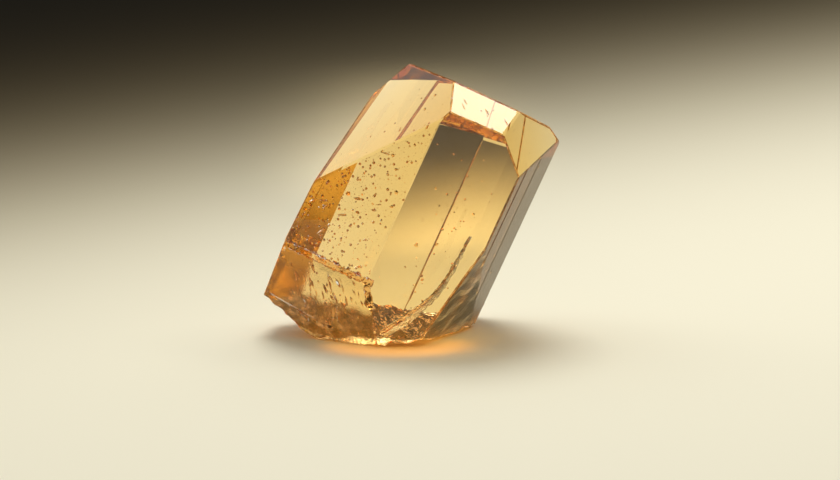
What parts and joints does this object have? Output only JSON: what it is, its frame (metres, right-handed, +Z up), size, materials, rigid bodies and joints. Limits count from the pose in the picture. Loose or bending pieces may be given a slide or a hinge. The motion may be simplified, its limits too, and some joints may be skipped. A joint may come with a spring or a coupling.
{
  "type": "topaz gemstone",
  "caption": "Clear orange-gold topaz crystal, leaning on its broken foot, with flat prism and roof faces, etch pits, growth ridges and a chipped ledge.",
  "frame": {"origin": "centre of the bounding box in X and Y, on the surface that the stone rests on", "axes": "+Z up, +X to the right and -Y to the front as seen from the side that shows both large prism faces; the long axis leans 24 degrees towards +X"},
  "size_m": [0.016, 0.0088, 0.0148],
  "materials": {
    "topaz": "clear and glossy, pitted and scratched, with a rough broken foot"
  },
  "bodies": {
    "root": {"crystal": "topaz"}
  },
  "joints": []
}
